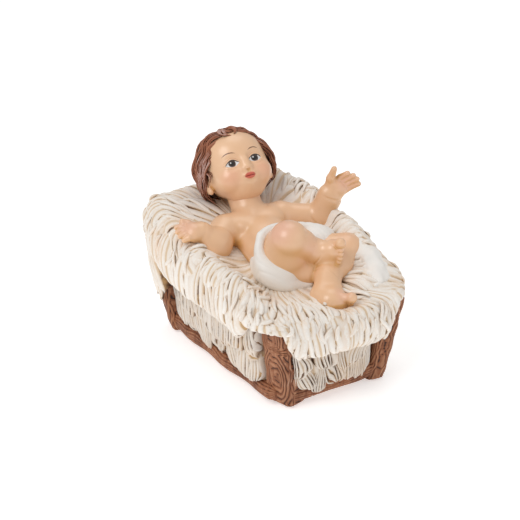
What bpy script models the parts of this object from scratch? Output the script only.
"""One-piece resin figurine: an infant lying on straw in a low wooden manger.

The head end is +Y, the foot end -Y, and the infant's right side is -X. The figurine stands on the
feet of its four posts at Z = 0.
"""

import functools
import math

import bmesh
import bpy
import numpy as np
from mathutils import Matrix, Vector

MM = 0.001

# Manger: four splayed boards for posts, set across its corners and joined by four low rails
MANGER_LENGTH = 95 * MM
MANGER_WIDTH = 52 * MM
FOOT_POST_HEIGHT = 46 * MM
HEAD_POST_HEIGHT = 58 * MM
POST_BREADTH = 15 * MM
POST_THICKNESS = 9.5 * MM
POST_TURN = math.radians(15)
POST_SIDE_SPLAY = math.radians(10)
POST_END_SPLAY = math.radians(6)
POST_ROUNDING = 2.2 * MM
# How far each foot post stands in from its corner, on the right and on the left
FOOT_POST_INSETS = {-1: (6.5 * MM, 3 * MM), 1: (-3.2 * MM, 2 * MM)}
RAIL_RADIUS = 4.5 * MM
RAIL_CLEARANCE = 2.5 * MM
RAIL_OUTSET = 1.5 * MM
RAIL_BOW = 1.5 * MM
# The share of a post's inset that the rails' ends follow
RAIL_INSET_SHARE = 0.5

# Straw: a bed inside a roll that overflows the manger, lowest at the feet and highest at the head
STRAW_LENGTH = 124 * MM
STRAW_FOOT_WIDTH = 81 * MM
STRAW_HEAD_WIDTH = 90 * MM
ROLL_FOOT_HEIGHT = 49 * MM
ROLL_SIDE_HEIGHT = 64 * MM
ROLL_HEAD_HEIGHT = 73 * MM
BED_FOOT_HEIGHT = 46 * MM
BED_HEAD_HEIGHT = 66 * MM
LEFT_ROLL_RISE = 5.5 * MM
LEFT_FOOT_BULGE = 5 * MM
ELBOW_HOLLOW_DEPTH = 5.5 * MM
ELBOW_HOLLOW_REACH = 8 * MM
ELBOW_HOLLOW_PLACE = (36 * MM, 3 * MM)
STRAW_CORNER = 4.4
STRAW_RECESS = 3.5 * MM
LIP_SHARE = 0.60
LIP_OVER_POST = 0.5 * MM
LOCK_RADIUS = 2.9 * MM
LOCK_SPACING = 6.2 * MM

# Infant: landmarks are in hundredths of its length, from a point on the bed under its middle
INFANT_LENGTH = 100 * MM
INFANT_SINK = 4 * MM
INFANT_ASIDE = 1.8 * MM

# Surface of the casting
SKIN_GRAIN = 0.9 * MM
MOST_TRIANGLES = 9600

RESIN_COLOUR = (0.86, 0.76, 0.66, 1.0)
RESIN_ROUGHNESS = 0.45


def smooth_step(low, high, value):
    share = min(1.0, max(0.0, (value - low) / (high - low)))
    return share * share * (3 - 2 * share)


def roll_height(y, across=0.0):
    """Height of the straw's outer roll at a distance y along the manger, higher on the left side."""
    half = STRAW_LENGTH / 2
    rise = smooth_step(-0.55, -0.15, y / half) * (1 - 0.8 * smooth_step(0.3, 0.85, y / half))
    from_foot = smooth_step(-0.9, -0.38, y / half)
    to_head = smooth_step(0.0, 0.8, y / half)
    height = ROLL_FOOT_HEIGHT + (ROLL_SIDE_HEIGHT - ROLL_FOOT_HEIGHT) * from_foot
    height += (ROLL_HEAD_HEIGHT - ROLL_SIDE_HEIGHT) * to_head
    return height + LEFT_ROLL_RISE * rise * smooth_step(0.3, 0.8, across)


def bed_height(y):
    """Height of the hollow in which the infant lies."""
    share = smooth_step(-0.35, 0.36, y / STRAW_LENGTH) ** 1.3
    return BED_FOOT_HEIGHT + (BED_HEAD_HEIGHT - BED_FOOT_HEIGHT) * share


def elbow_hollow(x, y):
    """How deep the left elbow presses the straw at a place."""
    gap = math.hypot(x - ELBOW_HOLLOW_PLACE[0], y - ELBOW_HOLLOW_PLACE[1])
    return ELBOW_HOLLOW_DEPTH * math.exp(-((gap / ELBOW_HOLLOW_REACH) ** 2))


def post_height(y):
    return HEAD_POST_HEIGHT if y > 0 else FOOT_POST_HEIGHT


def straw_width(y):
    """Overall width of the straw, which grows from the foot end to the head end."""
    return STRAW_FOOT_WIDTH + (STRAW_HEAD_WIDTH - STRAW_FOOT_WIDTH) * (y / STRAW_LENGTH + 0.5)


def rounded_square(angle):
    """A point at an angle on a superellipse that reaches 1 each way."""
    power = 2 / STRAW_CORNER
    cosine, sine = math.cos(angle), math.sin(angle)
    return (
        math.copysign(abs(cosine) ** power, cosine),
        math.copysign(abs(sine) ** power, sine),
    )


# The straw's section, from the middle of the bed to its underside. Each row has its share of the
# straw's width and of its length, of the way from the bed's height to the roll's, of the way down from
# there to the overhanging lip, of the height left below the lip, and of the way in to the manger.
STRAW_SECTION = (
    (0.00, 0.00, 0.0, 0.00, 1.0, 0.0),
    (0.40, 0.48, 0.0, 0.00, 1.0, 0.0),
    (0.66, 0.74, 0.5, 0.00, 1.0, 0.0),
    (0.84, 0.88, 1.0, 0.00, 1.0, 0.0),
    (0.96, 0.97, 1.0, 0.12, 1.0, 0.0),
    (1.00, 1.00, 1.0, 0.42, 1.0, 0.0),
    (0.99, 0.99, 1.0, 0.76, 1.0, 0.0),
    (0.95, 0.96, 1.0, 1.00, 1.0, 0.1),
    (1.00, 1.00, 1.0, 1.00, 0.9, 1.0),
    (1.00, 1.00, 1.0, 1.00, 0.5, 1.0),
    (1.00, 1.00, 1.0, 1.00, 0.13, 1.0),
)


def lip_share(across, down, y):
    """Height of the lip as a share of the roll's: higher at the corners, above the posts."""
    corner = smooth_step(0.56, 0.68, abs(across * down))
    if y > 0:
        corner *= smooth_step(0.76, 0.86, down)
    over_post = (post_height(y) + LIP_OVER_POST) / roll_height(y)
    return LIP_SHARE + (over_post - LIP_SHARE) * corner


def corner_bulge(across, down, along):
    """How far the straw bulges aside over the left foot post."""
    corner = smooth_step(0.35, 0.72, -across * down) if across > 0 else 0.0
    return LEFT_FOOT_BULGE * corner * smooth_step(0.25, 0.45, along) * (1 - smooth_step(0.76, 0.84, along))


def straw_point(angle, along, lift=0.0):
    """A point on the straw: along runs from 0 at the middle of the bed to 1 at the lowest edge."""
    steps = len(STRAW_SECTION) - 1
    place = min(max(along, 0.0), 0.9999) * steps
    first = int(place)
    share = place - first
    rows = zip(STRAW_SECTION[first], STRAW_SECTION[first + 1])
    wide, long, roll, hang, stand, manger = (a + (b - a) * share for a, b in rows)
    across, down = rounded_square(angle)
    y = down * long * STRAW_LENGTH / 2
    x = across * wide * straw_width(y) / 2
    z = bed_height(y) + (roll_height(y, across * wide) - bed_height(y)) * roll
    z -= elbow_hollow(x, y) * (1 - smooth_step(0.28, 0.36, along))
    z *= (1 - (1 - lip_share(across, down, y)) * hang) * stand
    half_width = (MANGER_WIDTH + POST_THICKNESS) / 2 - STRAW_RECESS + z * math.tan(POST_SIDE_SPLAY)
    half_length = (MANGER_LENGTH + POST_BREADTH) / 2 - STRAW_RECESS + z * math.tan(POST_END_SPLAY)
    x += (across * wide * half_width - x) * manger
    y += (down * long * half_length - y) * manger
    x += corner_bulge(across, down, along)
    outward = Vector((x, y, 0)).normalized() if along > 0 else Vector()
    tilt = smooth_step(0.3, 0.5, along)
    return Vector((x, y, z)) + lift * (outward * tilt + Vector((0, 0, 1 - tilt)))


@functools.cache
def straw_edge():
    """Angles round the straw's edge, and how far along the edge each of them lies, from 0 to 1."""
    angles = np.linspace(0, 2 * math.pi, 361)
    edge = np.array([straw_point(angle, 0.5) for angle in angles])
    gone = np.concatenate(([0], np.cumsum(np.linalg.norm(np.diff(edge, axis=0), axis=1))))
    return angles, gone / gone[-1]


def even_angle(share):
    """The angle at which a share of the straw's edge has been gone round."""
    angles, gone = straw_edge()
    return float(np.interp(share % 1, gone, angles))


class Clay:
    """Overlapping closed shapes, kept as points and faces until they are made one mesh."""

    def __init__(self):
        self.points = []
        self.faces = []

    def add(self, shape, move):
        """Adds a template's copy, each of its points sent through move."""
        first = len(self.points)
        points, faces = shape
        self.points.extend(move(point) for point in points)
        self.faces.extend([first + index for index in face] for face in faces)

    def centre(self):
        """Moves the shapes so that their box is centred on the origin, seen from above."""
        lowest = [min(point[axis] for point in self.points) for axis in range(2)]
        highest = [max(point[axis] for point in self.points) for axis in range(2)]
        middle = Vector((lowest[0] + highest[0], lowest[1] + highest[1], 0)) / 2
        self.points = [point - middle for point in self.points]

    def to_mesh(self, name):
        data = bpy.data.meshes.new(name)
        data.from_pydata(self.points, [], self.faces)
        return data


def shape_of(mesh):
    """A bmesh's points and faces, as a template for Clay.add; it frees the bmesh."""
    shape = (
        [vertex.co.copy() for vertex in mesh.verts],
        [[vertex.index for vertex in face.verts] for face in mesh.faces],
    )
    mesh.free()
    return shape


@functools.cache
def unit_ball(sides, rings):
    mesh = bmesh.new()
    bmesh.ops.create_uvsphere(mesh, u_segments=sides, v_segments=rings, radius=1.0)
    return shape_of(mesh)


def add_ball(clay, centre, radii, turn=None):
    """An ellipsoid; turn is a rotation matrix."""
    turn = turn or Matrix.Identity(3)
    centre, radii = Vector(centre), Vector(radii)
    clay.add(unit_ball(20, 12), lambda point: centre + turn @ (point * radii))


def add_limb(clay, start, end, start_radius, end_radius, sides=14):
    """A rod with round ends whose thickness runs from one radius to the other."""
    start, end = Vector(start), Vector(end)
    turn = (end - start).to_track_quat("Z", "Y").to_matrix()

    def move(point):
        if point.z > 1e-6:
            return end + turn @ (point * end_radius)
        return start + turn @ (point * start_radius)

    clay.add(unit_ball(sides, 8), move)


def add_chain(clay, points, radii, sides=14):
    for start, end, first, last in zip(points, points[1:], radii, radii[1:]):
        add_limb(clay, start, end, first, last, sides)


def add_straw_body(clay):
    """The closed mass of straw, from the bed down to between the rails."""
    rings = 24

    def move(point):
        fall = math.acos(max(-1.0, min(1.0, point.z))) / math.pi * rings / (rings - 1)
        if fall > 1.001:
            return Vector((0, 0, RAIL_CLEARANCE))
        return straw_point(math.atan2(point.y, point.x), fall)

    clay.add(unit_ball(56, rings), move)


def hides_post(place_round):
    """Whether a lock that hangs below the lip at this place would cover a post."""
    spot = straw_point(even_angle(place_round), 0.8)
    for side, end in CORNERS:
        foot, top = post_axis(side, end)
        post = foot.lerp(top, spot.z / top.z)
        if (spot - post).length < 0.65 * POST_BREADTH:
            return True
    return False


def add_straw_tier(clay, start, end, count, radius, phase):
    """A ring of locks that lie on the straw and hang over its side, each bending with the surface."""
    bends = 5
    for index in range(count):
        place_round = (index + phase) / count
        if start > 0.6 and hides_post(place_round):
            continue
        sway = 0.5 * math.sin(index * 2.4 + phase) / count
        reach = 1 + 0.05 * math.sin(index * 1.7 + 3 * phase)
        points, radii = [], []
        for step in range(bends + 1):
            share = step / bends
            along = start + (end * reach - start) * share
            points.append(straw_point(even_angle(place_round + sway * share), along, radius * 0.6))
            radii.append(radius * (0.5 + 0.5 * math.sin(math.pi * min(1, share * 1.15))))
        add_chain(clay, points, radii, sides=8)


def add_straw(clay):
    add_straw_body(clay)
    around = STRAW_LENGTH * 2 + STRAW_FOOT_WIDTH + STRAW_HEAD_WIDTH
    count = round(around / LOCK_SPACING)
    add_straw_tier(clay, 0.10, 0.30, round(count * 0.4), LOCK_RADIUS * 0.8, 0.5)
    add_straw_tier(clay, 0.20, 0.52, round(count * 0.65), LOCK_RADIUS, 0.2)
    add_straw_tier(clay, 0.40, 0.68, count, LOCK_RADIUS, 0.0)
    add_straw_tier(clay, 0.68, 0.85, round(count * 0.85), LOCK_RADIUS * 0.85, 0.4)
    add_straw_tier(clay, 0.82, 0.94, round(count * 0.8), LOCK_RADIUS * 0.8, 0.7)


CORNERS = ((-1, -1), (1, -1), (1, 1), (-1, 1))


def manger_corner(side, end, inset_share):
    """The manger's corner at the signs, moved in by a share of its post's inset."""
    aside, along = FOOT_POST_INSETS[side] if end < 0 else (0.0, 0.0)
    x = side * (MANGER_WIDTH / 2 - aside * inset_share)
    return Vector((x, end * (MANGER_LENGTH / 2 - along * inset_share), 0))


def post_axis(side, end):
    """Foot and top of a post's centre line, at the corner given by the signs."""
    foot = manger_corner(side, end, 1.0)
    lean = Vector((side * math.tan(POST_SIDE_SPLAY), end * math.tan(POST_END_SPLAY), 1))
    return foot - lean * POST_ROUNDING, foot + lean * post_height(end)


def add_post(clay, side, end):
    """A thick board, rounded at its edges, that leans outwards and is turned across its corner.

    Its rounded foot reaches below the ground, where the level cut leaves it flat.
    """
    foot, top = post_axis(side, end)
    turn = Matrix.Rotation(side * end * POST_TURN, 3, "Z")
    board = bmesh.new()
    bmesh.ops.create_cube(board, size=1.0)
    height = top.z - foot.z
    bmesh.ops.scale(board, vec=(POST_THICKNESS, POST_BREADTH, height), verts=board.verts)
    bmesh.ops.bevel(
        board, geom=board.edges[:], offset=POST_ROUNDING, segments=2, affect="EDGES", profile=0.6
    )

    def move(point):
        return turn @ Vector((point.x, point.y, 0)) + foot.lerp(top, point.z / height + 0.5)

    clay.add(shape_of(board), move)


def add_manger(clay):
    """The posts at the corners, and the rails between them, which bow outwards."""
    for side, end in CORNERS:
        add_post(clay, side, end)
    lift = Vector((0, 0, RAIL_CLEARANCE + RAIL_RADIUS))
    for (side, end), (next_side, next_end) in zip(CORNERS, CORNERS[1:] + CORNERS[:1]):
        outwards = Vector((side + next_side, end + next_end, 0)).normalized()
        start = manger_corner(side, end, RAIL_INSET_SHARE) + outwards * RAIL_OUTSET + lift
        finish = manger_corner(next_side, next_end, RAIL_INSET_SHARE) + outwards * RAIL_OUTSET + lift
        bends = []
        for step in range(5):
            share = step / 4
            bends.append(start.lerp(finish, share) + outwards * RAIL_BOW * 4 * share * (1 - share))
        add_chain(clay, bends, [RAIL_RADIUS] * 5)


# Infant's landmarks, in hundredths of its length: right is -X, head is +Y, up is +Z
NECK_BASE = (0, 21, 14)
NECK_TOP = (1, 32, 25)
HEAD = (1.5, 39, 33.5)
SHOULDERS = ((-15, 18.5, 12), (15, 18.5, 12))
RIGHT_ARM = ((-16.5, 18.5, 11.5), (-26, 10.5, 9), (-32.5, 13, 16.3))
LEFT_ARM = ((17, 17.5, 12), (34, 8.8, 10.4), (37.5, 6, 20.5))
RIGHT_LEG = ((-4.5, -9.5, 4), (-3.8, -20, 18.6), (8.4, -24.4, 11))
LEFT_LEG = ((9, -8, 3), (28, -22.5, 6.5), (9.5, -33.5, 1.5))
TAIL = ((24, -6, 5), (31.5, -15, 9), (34, -26, 9), (33.5, -35, 6.5), (33, -41.5, 3), (31.5, -47.5, -1))


def place(point):
    """A landmark's place on the figurine."""
    unit = INFANT_LENGTH / 100
    rest = (BED_FOOT_HEIGHT + BED_HEAD_HEIGHT) / 2 - INFANT_SINK
    return Vector(point) * unit + Vector((INFANT_ASIDE, 0, rest))


def length(value):
    """A length of the infant, given in hundredths of its own."""
    return value * INFANT_LENGTH / 100


def infant_ball(clay, centre, radii, turn=None):
    add_ball(clay, place(centre), [length(r) for r in radii], turn)


def infant_chain(clay, points, radii, sides=14):
    add_chain(clay, [place(p) for p in points], [length(r) for r in radii], sides)


def head_axes():
    """The head's own right, face and crown directions, as the columns of a matrix."""
    recline = math.radians(48)
    turn = math.radians(8)
    tilt = Matrix.Rotation(recline - math.pi / 2, 3, "X")
    yaw = Matrix.Rotation(-turn, 3, "Z")
    return tilt @ yaw


def on_head(x, y, z):
    """A point of the head's own frame, where -y is the way the face looks and z is the crown."""
    return Vector(HEAD) + head_axes() @ Vector((x, y, z))


def add_head(clay):
    axes = head_axes()
    infant_ball(clay, HEAD, (17.2, 18.2, 17.0), axes)
    infant_ball(clay, on_head(0, -5.5, -6.5), (14.8, 11.5, 11.0), axes)
    infant_ball(clay, on_head(0, -9.5, -13.2), (6.4, 5.6, 5.0), axes)
    infant_ball(clay, on_head(0, -17.6, -5.4), (2.1, 2.2, 2.0), axes)
    infant_ball(clay, on_head(0, -15.7, -10.4), (3.4, 1.9, 1.8), axes)
    for side in (-1, 1):
        infant_ball(clay, on_head(side * 8.2, -10.5, -7.6), (5.8, 5.2, 5.4), axes)
        infant_ball(clay, on_head(side * 16.6, 0.5, -6.0), (1.8, 3.2, 4.4), axes)
    infant_chain(clay, (NECK_BASE, NECK_TOP), (8.2, 8.6))


def add_hair(clay):
    """A cap over the skull with wavy locks that sweep from the crown to the hairline and the nape."""
    axes = head_axes()
    infant_ball(clay, on_head(0, 3.2, 0.6), (17.2, 16.2, 16.8), axes)
    locks = 19
    for index in range(locks):
        angle = 2 * math.pi * (index + 0.5) / locks
        facing = max(0.0, -math.sin(angle))
        reach = math.radians(128 - 76 * facing)
        points = []
        for step in range(6):
            fall = reach * (0.12 + 0.88 * step / 5)
            wave = 0.15 * math.sin(step * 2.2 + index * 1.9)
            points.append(
                on_head(
                    18.2 * math.sin(fall) * math.cos(angle + wave),
                    17.0 * math.sin(fall) * math.sin(angle + wave) + 3.0,
                    17.2 * math.cos(fall) + 0.6,
                )
            )
        infant_chain(clay, points, (1.0, 2.0, 2.4, 2.6, 2.3, 1.3), sides=8)
    curl = (on_head(0, -13.2, 12.0), on_head(2.5, -15.2, 9.6), on_head(0.2, -15.9, 8.0))
    infant_chain(clay, curl, (1.9, 1.5, 0.9), sides=8)


def add_torso(clay):
    recline = Matrix.Rotation(math.radians(18), 3, "X")
    infant_ball(clay, (0, 15, 9), (16.5, 13, 9), recline)
    infant_ball(clay, (0, 2, 5), (15, 14, 9.5), recline)
    infant_ball(clay, (0, -8, 3), (16, 11, 9))
    infant_chain(clay, SHOULDERS, (7.2, 7.2))


def add_hand(clay, wrist, palm, fingers_to, thumb_to, across):
    """A cupped palm with four fingers side by side and a thumb; across points to the first finger."""
    wrist, palm, tips, thumb_tip, across = map(Vector, (wrist, palm, fingers_to, thumb_to, across))
    across = across.normalized()
    infant_chain(clay, (wrist, palm), (4.4, 4.6))
    for index, reach in enumerate((0.9, 1.0, 0.96, 0.8)):
        shift = across * (3.6 - 2.4 * index)
        root = palm + shift * 0.9
        tip = palm + (tips - palm) * reach + shift
        infant_chain(clay, (root, root.lerp(tip, 0.55), tip), (1.9, 1.6, 1.25), sides=8)
    base = wrist.lerp(palm, 0.5) + across * 3.0
    infant_chain(clay, (base, base.lerp(thumb_tip, 0.5), thumb_tip), (2.6, 2.0, 1.4), sides=8)


def add_arms(clay):
    infant_chain(clay, RIGHT_ARM, (7.2, 7.5, 5.2))
    right_hand = ((-37.3, 13.5, 18.6), (-43.5, 14.5, 20.6), (-39.5, 19, 22.5), (0.1, 1, 0.35))
    add_hand(clay, RIGHT_ARM[2], *right_hand)
    infant_chain(clay, LEFT_ARM, (6.6, 6.3, 5.4))
    left_hand = ((41, 4.5, 26.5), (48.5, -1, 33), (37.6, 2.6, 37.6), (-0.75, 0.35, 0.6))
    add_hand(clay, LEFT_ARM[2], *left_hand)


def add_foot(clay, ankle, heel, ball, toes_to, across):
    """A chubby foot: heel, sole and five toes; across points to the big toe."""
    ankle, heel, ball, tips, across = map(Vector, (ankle, heel, ball, toes_to, across))
    across = across.normalized()
    infant_chain(clay, (ankle, heel), (5.0, 4.9))
    infant_chain(clay, (heel, ball), (4.9, 4.6))
    infant_chain(clay, (ankle, ball), (4.9, 4.2))
    for index, size in enumerate((2.3, 1.75, 1.6, 1.5, 1.35)):
        shift = across * (3.8 - 1.95 * index)
        tip = tips + shift - (tips - ball) * 0.09 * index
        infant_chain(clay, (ball + shift * 0.8, tip), (size * 1.1, size), sides=8)


def add_legs(clay):
    infant_chain(clay, RIGHT_LEG[:2], (11.0, 9.2))
    infant_ball(clay, (-2.6, -16.5, 7), (11.2, 10.5, 13), Matrix.Rotation(0.45, 3, "X"))
    infant_chain(clay, RIGHT_LEG[1:], (8.6, 5.7))
    infant_ball(clay, (0.8, -21.6, 15.6), (8.4, 6.8, 7.4), Matrix.Rotation(0.2, 3, "X"))
    right_foot = ((13, -29, 6), (13.4, -31.5, 13.2), (14.2, -35.6, 14), (0.05, 0.25, 1))
    add_foot(clay, RIGHT_LEG[2], *right_foot)
    infant_chain(clay, LEFT_LEG[:2], (9.5, 8.0))
    infant_chain(clay, LEFT_LEG[1:], (7.4, 6.2))
    infant_ball(clay, (18.5, -28.6, 3.6), (7.8, 7.2, 7.0))
    left_foot = ((0.6, -41, -3), (5, -48, -4), (8.4, -51.8, -3.4), (-0.1, -0.25, 1))
    add_foot(clay, LEFT_LEG[2], *left_foot)
    infant_ball(clay, (3.2, -45, -3.2), (7.2, 6.8, 6.2))


def add_loincloth(clay):
    """The wrap round the hips and the right thigh, with folds, and its end lying on the straw."""
    infant_ball(clay, (1, -7.5, 3), (17.4, 12.4, 10.2))
    infant_ball(clay, (12, -11, 5), (12.4, 10.5, 9.2))
    infant_ball(clay, (-7, -14.5, 2), (12.2, 12.0, 9.6))
    band = ((22, -7, 6), (15, -5, 13), (7, -4.5, 16.5), (-3, -5.5, 18.8), (-11.5, -8.5, 19.5))
    infant_chain(clay, band, (1.4, 1.5, 1.6, 1.6, 1.6), sides=8)
    folds = 5
    for index in range(folds):
        share = index / (folds - 1)
        start = Vector((-13, -9.5, 18)).lerp(Vector((-17.5, -13, -2)), share)
        middle = Vector((-16, -18, 5)).lerp(Vector((-14.5, -22, -4)), share)
        finish = Vector((-8.5, -26, -1.5)).lerp(Vector((-2, -26, -4)), share)
        infant_chain(clay, (start, middle, finish), (1.2, 1.5, 1.1), sides=8)
    for shift in (-1, 0, 1):
        tail = [Vector(p) + Vector((2.6, 0.8, 0)) * shift for p in TAIL]
        infant_chain(clay, tail, (2.0, 2.4, 2.6, 2.6, 2.4, 2.0), sides=8)


def add_infant(clay):
    add_torso(clay)
    add_head(clay)
    add_hair(clay)
    add_arms(clay)
    add_legs(clay)
    add_loincloth(clay)


def resin_material():
    material = bpy.data.materials.new("painted_resin")
    material.use_nodes = True
    shader = material.node_tree.nodes["Principled BSDF"]
    shader.inputs["Base Color"].default_value = RESIN_COLOUR
    shader.inputs["Roughness"].default_value = RESIN_ROUGHNESS
    shader.inputs["Metallic"].default_value = 0.0
    return material


def make_ground_cutter(collection):
    """A block whose top face trims the feet level."""
    size = 2 * STRAW_LENGTH
    bpy.ops.mesh.primitive_cube_add(size=size, location=(0, 0, -size / 2))
    cutter = bpy.context.object
    cutter.name = "ground_cutter"
    cutter.hide_render = True
    cutter.display_type = "WIRE"
    move_to(cutter, collection)
    return cutter


def move_to(item, collection):
    for holder in list(item.users_collection):
        holder.objects.unlink(item)
    collection.objects.link(item)


def new_collection(name):
    collection = bpy.data.collections.new(name)
    bpy.context.scene.collection.children.link(collection)
    return collection


def triangles_of(item):
    """How many triangles the object has as its modifiers leave it."""
    graph = bpy.context.evaluated_depsgraph_get()
    return sum(len(face.vertices) - 2 for face in item.evaluated_get(graph).data.polygons)


def main():
    for item in list(bpy.data.objects):
        bpy.data.objects.remove(item)
    figurine = new_collection("nativity_infant_figurine")
    cutters = new_collection("cutters")

    clay = Clay()
    add_straw(clay)
    add_manger(clay)
    add_infant(clay)
    clay.centre()
    casting = bpy.data.objects.new("nativity_infant", clay.to_mesh("nativity_infant"))
    casting.data.materials.append(resin_material())
    figurine.objects.link(casting)

    remesh = casting.modifiers.new("one_casting", "REMESH")
    remesh.mode = "VOXEL"
    remesh.voxel_size = SKIN_GRAIN
    soften = casting.modifiers.new("soften", "SMOOTH")
    soften.factor = 0.5
    soften.iterations = 2
    fine_triangles = triangles_of(casting)
    facets = casting.modifiers.new("facets", "DECIMATE")
    facets.ratio = min(1.0, MOST_TRIANGLES / fine_triangles)
    level = casting.modifiers.new("level_feet", "BOOLEAN")
    level.operation = "DIFFERENCE"
    level.object = make_ground_cutter(cutters)


main()
